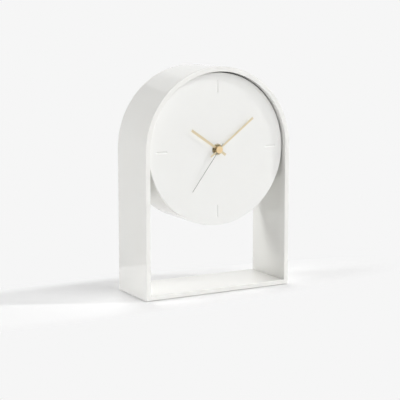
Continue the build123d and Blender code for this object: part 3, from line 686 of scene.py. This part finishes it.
@dataclass
class Drum:
    """The ring, the dial in front of it, the cover behind it and what holds it in the arch."""

    head_face: float = 96.05
    head_radius: float = 2.8
    head_height: float = 2.0
    head_round: float = 0.6
    shank_radius: float = 1.5
    point_length: float = 1.2
    tip_radius: float = 0.1
    recess_half: float = 1.75
    recess_depth: float = 1.1
    recess_taper: float = 0.7
    recess_cells: int = 7
    screw_angles: tuple[float, ...] = (-45.0, 0.0, 45.0)

    def build(self) -> None:
        """Dresses the drum's CAD nodes and puts the screws round it, their heads towards its axis."""
        dress(DIAL_ABS, DIAL_NODE)
        dress(DRUM_ABS, "drum_case")
        dress(COVER_ABS, "rear_cover")
        dress(STRIP_PE, "drum_spacer")
        low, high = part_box("drum_screws")
        centre, _ = on_axis(DIAL_NODE)
        outward = STAND_UP @ Matrix.Translation((0, self.head_face, 0))
        bm = bmesh.new()
        for angle in self.screw_angles:
            screw = self.screw((high.z - centre.z) / MM - self.head_face)
            turn = Matrix.Rotation(math.radians(angle), 4, "Y")
            bmesh.ops.transform(screw, matrix=turn @ outward, verts=screw.verts[:])
            join_into(bm, screw)
        place = Vector((centre.x, (low.y + high.y) / 2, centre.z))
        finish_piece(bm, "drum_screw_set", "case", [ZINC_STEEL], place, ["drum_screws"])

    def screw(self, length: float) -> Mesh:
        """Draws one pan-head screw with a cross recess.

        Args:
            length: Length of the screw with its head.

        Returns:
            The screw along Y, its recess in front and its tip at the rear.
        """
        bm = bmesh.new()
        cells = self.recess_cells
        half = self.recess_half
        bmesh.ops.create_grid(bm, x_segments=cells, y_segments=cells, size=half, matrix=STAND_UP)
        border = [edge for edge in bm.edges if edge.is_boundary]
        self.sink_cross(bm)
        profile = [
            (self.head_radius - self.head_round, 0.0),
            (self.head_radius, self.head_round),
            (self.head_radius, self.head_height),
            (self.shank_radius, self.head_height),
            (self.shank_radius, length - self.point_length),
            (self.tip_radius, length),
        ]
        rings = [add_loop(bm, 4 * cells, lambda angle, at=at: at) for at in profile]
        bmesh.ops.edgeloop_fill(bm, edges=rings[-1])
        bridge_along(bm, [border] + rings)
        return bm

    def sink_cross(self, bm: Mesh) -> None:
        """Sinks a tapered cross into the middle of the screw's face.

        Args:
            bm: Mesh with nothing but the face's grid.
        """
        cell = 2 * self.recess_half / self.recess_cells
        cross = []
        for face in bm.faces:
            middle = face.calc_center_median()
            near, far = sorted((abs(middle.x), abs(middle.z)))
            if near < cell / 2 and far < self.recess_half - cell:
                cross.append(face)
        sunk = bmesh.ops.extrude_face_region(bm, geom=cross)
        bottom = pick(sunk["geom"], Vert)
        bmesh.ops.scale(bm, verts=bottom, vec=(self.recess_taper, 1.0, self.recess_taper))
        bmesh.ops.translate(bm, verts=bottom, vec=(0, self.recess_depth, 0))


@dataclass
class Hand:
    """One stamped hand: a ring eye with a blade and a tail drawn out of it, on a short collet."""

    node: str
    body: str
    slot: str
    finish: Finish
    angle: float
    length: float
    tail: float
    hub_half: float
    tip_half: float
    eye: float
    bore: float
    collet_wall: float = 0.9
    thickness: float = 0.4
    edge: float = 0.1
    steps: int = 72

    def build(self) -> None:
        """Builds the hand where its CAD node is."""
        place, depth = on_axis(self.node)
        bm = self.blade()
        self.add_collet(bm, depth)
        turn = Matrix.Rotation(math.radians(self.angle), 3, "Y")
        bmesh.ops.rotate(bm, verts=bm.verts[:], matrix=turn)
        finish_piece(bm, self.node + "_blade", self.body, [self.finish], place, [self.node])

    def blade(self) -> Mesh:
        """Draws the eye, pulls the blade and the tail out of it and gives them a thickness.

        Returns:
            The closed blade, pointing up, its front face at depth 0.
        """
        bm = bmesh.new()
        for radius in (self.eye, self.bore):
            bmesh.ops.create_circle(bm, segments=self.steps, radius=radius, matrix=STAND_UP)
        bmesh.ops.bridge_loops(bm, edges=bm.edges[:])
        self.draw_out(bm, self.length, self.tip_half)
        self.draw_out(bm, -self.tail, self.hub_half)
        thicken(bm, self.thickness)
        soften(bm, self.edge, segments=2, sharper_than=60.0)
        return bm

    def draw_out(self, bm: Mesh, reach: float, end_half: float) -> None:
        """Pulls a stretch of the eye's rim out into a bar.

        Args:
            bm: Flat mesh of the hand.
            reach: Height of the bar's end, below zero for the tail.
            end_half: Half of the bar's width at its end.
        """
        upward = math.copysign(1.0, reach)
        middle = (self.eye + self.bore) / 2
        root = {
            vert
            for vert in bm.verts
            if vert.co.length > middle and vert.co.z * upward > 0 and abs(vert.co.x) <= self.hub_half
        }
        rim = [edge for edge in bm.edges if edge.is_boundary and root.issuperset(edge.verts)]
        root_half = max(abs(v.co.x) for edge in rim for v in edge.verts)
        for corner in {v for edge in rim for v in edge.verts if abs(v.co.x) > root_half - MERGE_MM}:
            side = math.copysign(self.hub_half, corner.co.x)
            corner.co = (side, 0.0, upward * math.sqrt(self.eye ** 2 - self.hub_half ** 2))
        pulled = bmesh.ops.extrude_edge_only(bm, edges=rim)
        for vert in pick(pulled["geom"], Vert):
            vert.co = (vert.co.x * end_half / self.hub_half, 0.0, reach)

    def add_collet(self, bm: Mesh, depth: float) -> None:
        """Adds the ring behind the eye that grips the tube or arbor.

        Args:
            bm: Mesh of the hand.
            depth: Depth of the whole hand, from the front of the blade.
        """
        start = self.thickness - self.edge
        outer = self.bore + self.collet_wall
        ring = [(self.bore, start), (outer, start), (outer, depth), (self.bore, depth)]
        collet = bmesh.new()
        turn_profile(collet, ring, self.steps, closed=True)
        soften(collet, self.edge, segments=2)
        join_into(bm, collet)


@dataclass
class HandSet:
    """The three hands and the cap over their hub."""

    hour_angle: float = 304.2
    minute_angle: float = 52.8
    second_angle: float = 216.8
    gold: str = "#EBDEBF"
    gold_shade: str = "#E2D4B4"
    cap_radius: float = 4.8
    cap_crown: float = 0.25
    cap_edge: float = 0.35
    cap_rings: int = 6
    steps: int = 72

    def build(self) -> None:
        """Builds the hands, from the dial outwards, and the cap over them."""
        hour = self.brushed("hour", self.hour_angle)
        minute = self.brushed("minute", self.minute_angle)
        pale = WorkedMetal(
            "pale_grey_lacquer_steel", "#B1B0AA", "#A6A59F", 0.42, 0.05, Lay.TUMBLED, 0.5, 0.002
        )
        # Length, tail, half widths at hub and tip, and the radii of the eye and its bore
        hour_sizes = (48.0, 13.5, 1.7, 1.7, 4.4, 2.52)
        minute_sizes = (65.5, 15.0, 1.1, 1.45, 3.6, 1.62)
        second_sizes = (66.6, 10.0, 0.4, 0.4, 2.2, 0.52)
        Hand("hour_hand", "hours", "gold_metal", hour, self.hour_angle, *hour_sizes).build()
        Hand("minute_hand", "minutes", "gold_metal", minute, self.minute_angle, *minute_sizes).build()
        Hand("second_hand", "seconds", "pale_metal", pale, self.second_angle, *second_sizes).build()
        self.build_cap()

    def brushed(self, name: str, angle: float) -> WorkedMetal:
        """Gold-lacquered brass brushed along a hand, whose marks are drawn coarser than they are."""
        title = f"brushed_gold_brass_{name}"
        return WorkedMetal(
            title, self.gold, self.gold_shade, 0.34, 0.06, Lay.BRUSHED, 0.25, 0.003, angle=angle
        )

    def build_cap(self) -> None:
        """Turns the crowned cap."""
        place, depth = on_axis("second_cap")
        shares = [ring / self.cap_rings for ring in range(self.cap_rings + 1)]
        crown = [(self.cap_radius * share, self.cap_crown * share ** 2) for share in shares]
        bm = bmesh.new()
        turn_profile(bm, crown + [(self.cap_radius, depth), (0, depth)], self.steps)
        soften(bm, self.cap_edge)
        centre = tuple(place / MM)
        lathe = WorkedMetal(
            "turned_gold_brass", "#FBE1B5", "#F3D6A6", 0.32, 0.03, Lay.TURNED, 0.25, 0.003, centre
        )
        finish_piece(bm, "second_cap_crown", "seconds", [lathe], place, ["second_cap"])


@dataclass
class Hub:
    """Washer, chamfered nut and bush that hold the movement to the dial."""

    nut_flat: float = 6.06
    nut_bore: float = 4.02
    chamfer_share: float = 0.8
    chamfer_slope: float = 32.0
    edge: float = 0.08
    steps: int = 72

    def build(self) -> None:
        """Dresses the washer and the bush and builds the nut."""
        centre = tuple(on_axis(DIAL_NODE)[0] / MM)
        brass = WorkedMetal("turned_brass", "#C9A45C", "#B58F49", 0.3, 0.07, Lay.TURNED, 0.3, 0.004, centre)
        dress(brass, "centre_bush")
        tin = WorkedMetal("tinned_brass", "#DCD3BC", "#CFC5AC", 0.3, 0.06, Lay.TURNED, 0.4, 0.003, centre)
        dress(tin, "dial_washer")
        bright = WorkedMetal(
            "polished_brass", "#9A8E70", "#8C8062", 0.22, 0.04, Lay.TURNED, 0.3, 0.001, centre
        )
        self.build_nut(bright)

    def side_radius(self, angle: float) -> float:
        """Distance of the nut's six-sided outline from its axis at an angle."""
        side = math.tau / 6
        return self.nut_flat / math.cos(angle % side - side / 2)

    def build_nut(self, finish: Finish) -> None:
        """Builds the six-sided nut with the turned chamfer that rounds its front corners.

        Args:
            finish: Metal of the nut.
        """
        place, depth = on_axis("fixing_nut")
        round_radius = self.nut_flat * self.chamfer_share
        slope = math.tan(math.radians(self.chamfer_slope))
        bm = bmesh.new()
        shapes: list[Outline] = [
            lambda angle: (self.nut_bore, 0.0),
            lambda angle: (round_radius, 0.0),
            lambda angle: (self.side_radius(angle), (self.side_radius(angle) - round_radius) * slope),
            lambda angle: (self.side_radius(angle), depth),
            lambda angle: (self.nut_bore, depth),
        ]
        rings = [add_loop(bm, self.steps, shape) for shape in shapes]
        bridge_along(bm, rings + rings[:1])
        soften(bm, self.edge, segments=2, sharper_than=50.0)
        finish_piece(
            bm, "fixing_nut_chamfered", "case", [finish], place, ["fixing_nut"]
        )


@dataclass
class Movement:
    """The quartz movement: housing with its moulded signs, train, motor and electronics."""

    sign_height: float = 0.25
    sign_root: float = 0.1
    sign_edge: float = 0.08
    arrow_radius: float = 8.6
    arrow_width: float = 0.9
    arrow_sweep: float = 62.0
    arrow_steps: int = 16
    arrow_starts: tuple[float, ...] = (20.0, 200.0)
    head_width: float = 2.4
    head_sweep: float = 16.0
    polarity_arm: float = 3.6
    polarity_width: float = 0.9
    polarity_reach: float = 21.0
    polarity_lift: float = 12.5

    def build(self) -> None:
        """Dresses the movement's CAD nodes and moulds the signs on the housing's back."""
        dress(HOUSING_ABS, "movement_front_plate", "movement_rear_case")
        dress(SOFT_RUBBER, "movement_gasket")
        dress(KNOB_ABS, "setting_knob")
        dress(CORE_STEEL, "stator_plate")
        dress(PAINTED_SHADE_WIRE, "coil_winding")
        dress(LAMINATE, "circuit_board")
        dress(CAN_METAL, "quartz_crystal")
        dress(CHIP_RESIN, "control_chip")
        dress(SPRINGS, "positive_contact", "negative_contact")
        dress(MAGNET, "rotor_magnet")
        dress(GEAR_POM, "coil_bobbin", "rotor_pinion", "cannon_pinion")
        wheels = ("intermediate", "second", "third", "centre", "motion", "hour")
        dress(GEAR_POM, *(f"{wheel}_wheel" for wheel in wheels))
        self.build_signs()

    def build_signs(self) -> None:
        """Moulds the setting arrows round the knob and the polarity signs above the battery."""
        knob, cell = (sum(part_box(node), Vector()) / 2 / MM for node in ("setting_knob", "battery"))
        signs = [(self.arrow(start), knob) for start in self.arrow_starts]
        for bars, side in ((2, 1.0), (1, -1.0)):
            shift = Vector((side * self.polarity_reach, 0.0, self.polarity_lift))
            signs.append((self.polarity(bars), cell + shift))
        bm = bmesh.new()
        for sign, place in signs:
            bmesh.ops.translate(sign, verts=sign.verts[:], vec=(place.x, 0.0, place.z))
            join_into(bm, sign)
        thicken(bm, self.sign_root + self.sign_height)
        soften(bm, self.sign_edge, segments=2, sharper_than=60.0)
        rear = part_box("movement_rear_case")[1].y - self.sign_root * MM
        finish_piece(bm, "moulded_signs", "case", [HOUSING_ABS], Vector((0, rear, 0)))

    def arrow(self, start: float) -> Mesh:
        """Sweeps a bent arrow.

        Args:
            start: Angle of its tail in degrees.

        Returns:
            The flat arrow about the origin.
        """
        bm = bmesh.new()
        half = self.arrow_width / 2
        tail = [bm.verts.new((self.arrow_radius + side * half, 0, 0)) for side in (-1, 1)]
        swept = bmesh.ops.spin(
            bm,
            geom=[*tail, bm.edges.new(tail)],
            axis=(0, 1, 0),
            angle=math.radians(self.arrow_sweep),
            steps=self.arrow_steps,
        )
        neck = pick(swept["geom_last"], Edge)
        for sweep, share in ((0.0, self.head_width / self.arrow_width), (self.head_sweep, 0.0)):
            neck = pick(bmesh.ops.extrude_edge_only(bm, edges=neck)["geom"], Edge)
            turn = Matrix.Rotation(math.radians(self.arrow_sweep + sweep), 3, "Y")
            outward = turn @ Vector((1, 0, 0))
            for vert in {vert for edge in neck for vert in edge.verts}:
                aside = (vert.co.length - self.arrow_radius) * share
                vert.co = outward * (self.arrow_radius + aside)
        bmesh.ops.remove_doubles(bm, verts=bm.verts[:], dist=MERGE_MM)
        bmesh.ops.rotate(bm, verts=bm.verts[:], matrix=Matrix.Rotation(math.radians(start), 3, "Y"))
        return bm

    def polarity(self, bars: int) -> Mesh:
        """Draws a minus or a plus.

        Args:
            bars: 1 for a minus, 2 for a plus.

        Returns:
            The flat sign about the origin.
        """
        bm = bmesh.new()
        half = self.polarity_arm / 2
        bmesh.ops.create_grid(bm, x_segments=3, y_segments=3, size=half, matrix=STAND_UP)
        for vert in bm.verts:
            for axis in (0, 2):
                if abs(vert.co[axis]) < half / 2:
                    vert.co[axis] = math.copysign(self.polarity_width / 2, vert.co[axis])
        spare = []
        for face in bm.faces:
            middle = face.calc_center_median()
            upright = abs(middle.x) < MERGE_MM and bars == 2
            if abs(middle.z) > MERGE_MM and not upright:
                spare.append(face)
        bmesh.ops.delete(bm, geom=spare, context="FACES")
        return bm


@dataclass
class Battery:
    """One AA cell: a shrink sleeve curled over metal ends, the raised terminal to the right."""

    radius: float = 7.25
    sleeve_lip: float = 5.8
    groove: float = 0.3
    end_radius: float = 5.4
    terminal_radius: float = 2.75
    terminal_length: float = 1.3
    edge: float = 0.25
    sleeve: str = "#B9BDBF"
    band: str = "#4A5257"
    band_length: float = 14.0
    line_width: float = 0.8
    steps: int = 96

    def build(self) -> None:
        """Builds the cell where its CAD node is."""
        low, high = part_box("battery")
        middle = (low + high) / 2
        length = (high.x - low.x) / MM
        shoulder = length - self.terminal_length
        profile = [
            (0, self.groove / 2),
            (self.end_radius, self.groove / 2),
            (self.end_radius, self.groove),
            (self.sleeve_lip, self.groove),
            (self.sleeve_lip, 0),
            (self.radius, 0),
            (self.radius, shoulder),
            (self.sleeve_lip, shoulder),
            (self.sleeve_lip, shoulder - self.groove),
            (self.terminal_radius, shoulder - self.groove),
            (self.terminal_radius, length),
            (0, length),
        ]
        bm = bmesh.new()
        turn_profile(bm, profile, self.steps)
        for face in bm.faces:
            spot = face.calc_center_median()
            face.material_index = int(math.hypot(spot.x, spot.z) < self.sleeve_lip - MERGE_MM)
        soften(bm, self.edge)
        bmesh.ops.rotate(bm, verts=bm.verts[:], matrix=Matrix.Rotation(math.radians(-90), 3, "Z"))
        place = Vector((low.x, middle.y, middle.z))
        band_from = high.x / MM - self.band_length
        film = PrintedSleeve("printed_shrink_sleeve", self.sleeve, self.band, band_from, self.line_width)
        finish_piece(bm, "battery_cell", "cell", [film, CAN_METAL], place, ["battery"])


@dataclass
class Card:
    """Grey card beside the set that only reflections show, as a photographer's flag.

    Soft gives the shares of its width and height over which it fades into the background at
    its left, right, lower and upper side. Roll turns it anticlockwise in its own plane.
    """

    name: str
    tone: str
    centre_mm: tuple[float, float, float]
    size_mm: tuple[float, float]
    soft: tuple[float, float, float, float]
    faces: tuple[float, float, float] = (0.0, -1.0, 0.0)
    roll: float = 0.0
    hard_side: float = 1e-4

    def share_of_tone(self, tree: Tree) -> Socket:
        """Finds how much of the card's own grey shows at each place of it.

        Args:
            tree: Node tree of the card's material.

        Returns:
            A socket with 1 in the middle and 0 at the sides.
        """
        place = add_node(tree, "ShaderNodeTexCoord").outputs["UV"]
        across = add_node(tree, "ShaderNodeSeparateXYZ", links={"Vector": place}).outputs
        sides = (("X", 0.0, 1.0), ("X", 1.0, -1.0), ("Y", 0.0, 1.0), ("Y", 1.0, -1.0))
        shares = []
        for (axis, start, inward), width in zip(sides, self.soft):
            stop = start + inward * max(width, self.hard_side)
            shares.append(remap(tree, across[axis], (start, stop), curve="SMOOTHSTEP"))
        return reduce(partial(combine, tree, "MULTIPLY"), shares)

    def build(self) -> None:
        """Stands the card up, facing the way that it is told."""
        material, tree = start_material(self.name)
        grey = blend(tree, BACKGROUND, self.tone, self.share_of_tone(tree))
        close_material(tree, add_node(tree, "ShaderNodeEmission", links={"Color": grey}).outputs[0])
        bm = bmesh.new()
        bm.loops.layers.uv.new("card")
        bmesh.ops.create_grid(bm, x_segments=1, y_segments=1, size=0.5, calc_uvs=True)
        roll = Matrix.Rotation(math.radians(self.roll), 3, "Z")
        turn = Vector(self.faces).to_track_quat("Z", "Y").to_matrix() @ roll
        place = Matrix.LocRotScale(Vector(self.centre_mm) * MM, turn, Vector((*self.size_mm, 1.0)) * MM)
        bmesh.ops.transform(bm, matrix=place, verts=bm.verts[:])
        card = add_object(bm, self.name, [material])
        card.visible_camera = False
        card.visible_diffuse = False
        card.visible_shadow = False


@dataclass(frozen=True)
class Lamp:
    """One soft lamp far from the clock, which glossy skins don't mirror.

    Passes names thin pieces that throw no shadow in its light, as in that of a very broad box.
    """

    name: str
    comes_from: tuple[float, float, float]
    strength: float
    spread: float
    passes: tuple[str, ...] = ()

    def hang(self) -> None:
        """Hangs the lamp so that it shines on the clock, and past the thin pieces."""
        lamp = bpy.data.lights.new(self.name, "SUN")
        lamp.energy = self.strength
        lamp.angle = math.radians(self.spread)
        holder = bpy.data.objects.new(self.name, lamp)
        holder.rotation_euler = Vector(self.comes_from).to_track_quat("Z", "Y").to_euler()
        holder.visible_glossy = False
        bpy.context.scene.collection.objects.link(holder)
        if self.passes:
            thin = bpy.data.collections.new(f"{self.name}_passes")
            for name in self.passes:
                thin.objects.link(bpy.data.objects[name])
            holder.light_linking.blocker_collection = thin
            for entry in thin.collection_objects:
                entry.light_linking.link_state = "EXCLUDE"


@dataclass
class Studio:
    """Pale floor, soft lamps round the clock and the camera of the photograph."""

    floor_colour: str = "#F7F7F7"
    floor_half: float = 12.0
    floor_cells: int = 8
    # Middle and reach in metres of the floor's shaded stretch, and how many reaches away it ends
    shade_centre: tuple[float, float, float] = (-0.16, 0.012, 0.0)
    shade_reach: tuple[float, float, float] = (0.34, 0.07, 1.0)
    shade_fade: float = 1.6
    pale_share: float = 0.12
    # Where each lamp's light comes from, its strength and how many degrees of the sky it fills
    lamps: tuple[Lamp, ...] = (
        Lamp("front_box", (0.15, -0.86, 0.48), 0.3, 60.0),
        Lamp("upper_box", (0.281, -0.738, 0.612), 1.5, 52.0, passes=HAND_PIECES),
        Lamp("rear_box", (0.16, 0.77, 0.617), 1.52, 35.0),
        Lamp("left_box", (-0.95, 0.0, 0.31), 0.56, 30.0),
        Lamp("left_window", (-0.892, 0.283, 0.353), 1.0, 16.0),
        Lamp("key_light", (0.744, -0.346, 0.571), 1.05, 4.5),
    )
    # Tone, middle, size and soft sides of each card
    cards: tuple[Card, ...] = (
        Card("rear_left_card", "#949494", (-575.0, 172.0, 300.0), (850.0, 600.0), (0.5, 0.0, 0.0, 0.4)),
        Card("rear_upper_card", "#D0D0D0", (-70.0, 174.0, 425.0), (160.0, 350.0), (0.0, 0.3, 0.0, 0.4)),
        Card(
            "rear_corner_card",
            "#7E7E7E",
            (-135.4, 172.0, 307.5),
            (160.0, 160.0),
            (0.0, 0.02, 0.0, 0.0),
            roll=41.0,
        ),
        Card("rear_foot_card", "#BCBCBC", (-126.0, 172.0, 30.0), (48.0, 60.0), (0.0, 0.0, 0.0, 0.0)),
        Card("rear_lower_card", "#A0A0A0", (-52.5, 172.0, 155.0), (195.0, 190.0), (0.0, 0.3, 0.0, 0.0)),
        Card(
            "camera_side_card",
            "#303030",
            (-560.0, -640.0, 330.0),
            (900.0, 560.0),
            (0.3, 0.3, 0.3, 0.3),
            faces=(0.65, 0.75, -0.15),
        ),
    )
    camera_mm: tuple[float, float, float] = (-815.865, -1442.402, 380.143)
    camera_yaw: float = 29.2881
    camera_pitch: float = 8.9346
    camera_lens: float = 112.298

    def build(self) -> None:
        """Builds the world, the floor, the lamps, the cards and the camera."""
        self.build_world()
        self.build_floor()
        for lamp in self.lamps:
            lamp.hang()
        for card in self.cards:
            card.build()
        self.build_camera()
        bpy.context.scene.view_settings.view_transform = "Standard"

    def seen_directly(self, tree: Tree) -> Socket:
        """Tells rays that show the background from rays that light the object.

        Args:
            tree: Node tree that gets the nodes.

        Returns:
            A socket with 1 for camera, glossy and transmission rays and 0 for the rest.
        """
        path = add_node(tree, "ShaderNodeLightPath").outputs
        bounced = combine(tree, "MAXIMUM", path["Is Glossy Ray"], path["Is Transmission Ray"])
        return combine(tree, "MAXIMUM", path["Is Camera Ray"], bounced)

    def build_world(self) -> None:
        """Shows the pale background to the eye and to reflections, and leaves the light to the lamps."""
        world = bpy.data.worlds.new("pale_background")
        world.use_nodes = True
        tree = world.node_tree
        tree.nodes.clear()
        shown = add_node(
            tree,
            "ShaderNodeBackground",
            values={"Color": linear(BACKGROUND)},
            links={"Strength": self.seen_directly(tree)},
        )
        add_node(tree, "ShaderNodeOutputWorld", links={"Surface": shown.outputs[0]})
        bpy.context.scene.world = world

    def build_floor(self) -> None:
        """Lays the floor, which keeps the clock's shadow, fades into the background and mirrors pale."""
        material, tree = start_material("pale_floor")
        matt = add_node(tree, "ShaderNodeBsdfDiffuse", values={"Color": linear(self.floor_colour)})
        glow = {"Color": linear(BACKGROUND), "Strength": 1.0}
        pale = add_node(tree, "ShaderNodeEmission", values=glow)
        beside = add_node(
            tree,
            "ShaderNodeMapping",
            settings={"vector_type": "TEXTURE"},
            values={"Location": self.shade_centre, "Scale": self.shade_reach},
            links={"Vector": add_node(tree, "ShaderNodeTexCoord").outputs["Object"]},
        ).outputs["Vector"]
        away = add_node(tree, "ShaderNodeVectorMath", {"operation": "LENGTH"}, links={0: beside})
        ends = (self.pale_share, 1.0)
        fade = remap(tree, away.outputs["Value"], (1.0, self.shade_fade), ends, "SMOOTHSTEP")
        mirrored = add_node(tree, "ShaderNodeLightPath").outputs["Is Glossy Ray"]
        paler = combine(tree, "MAXIMUM", fade, mirrored)
        share = combine(tree, "MULTIPLY", paler, self.seen_directly(tree))
        links = {0: share, 1: matt.outputs[0], 2: pale.outputs[0]}
        close_material(tree, add_node(tree, "ShaderNodeMixShader", links=links).outputs[0])
        bm = bmesh.new()
        cells = self.floor_cells
        bmesh.ops.create_grid(bm, x_segments=cells, y_segments=cells, size=self.floor_half)
        floor = add_object(bm, "floor", [material])

    def build_camera(self) -> None:
        """Puts the camera where the photograph was taken."""
        camera = bpy.data.cameras.new("camera")
        camera.lens = self.camera_lens
        holder = bpy.data.objects.new("camera", camera)
        holder.location = Vector(self.camera_mm) * MM
        holder.rotation_euler = (math.radians(90 - self.camera_pitch), 0.0, math.radians(-self.camera_yaw))
        bpy.context.scene.collection.objects.link(holder)
        bpy.context.scene.camera = holder


def main() -> None:
    """Builds the clock from the outside in, and then the studio round it."""
    logging.basicConfig(level=logging.INFO, format="%(name)s: %(message)s")
    for assembly in (ArchFrame(), Drum(), HandSet(), Hub(), Movement(), Battery(), Studio()):
        assembly.build()


if __name__ == "__main__":
    main()
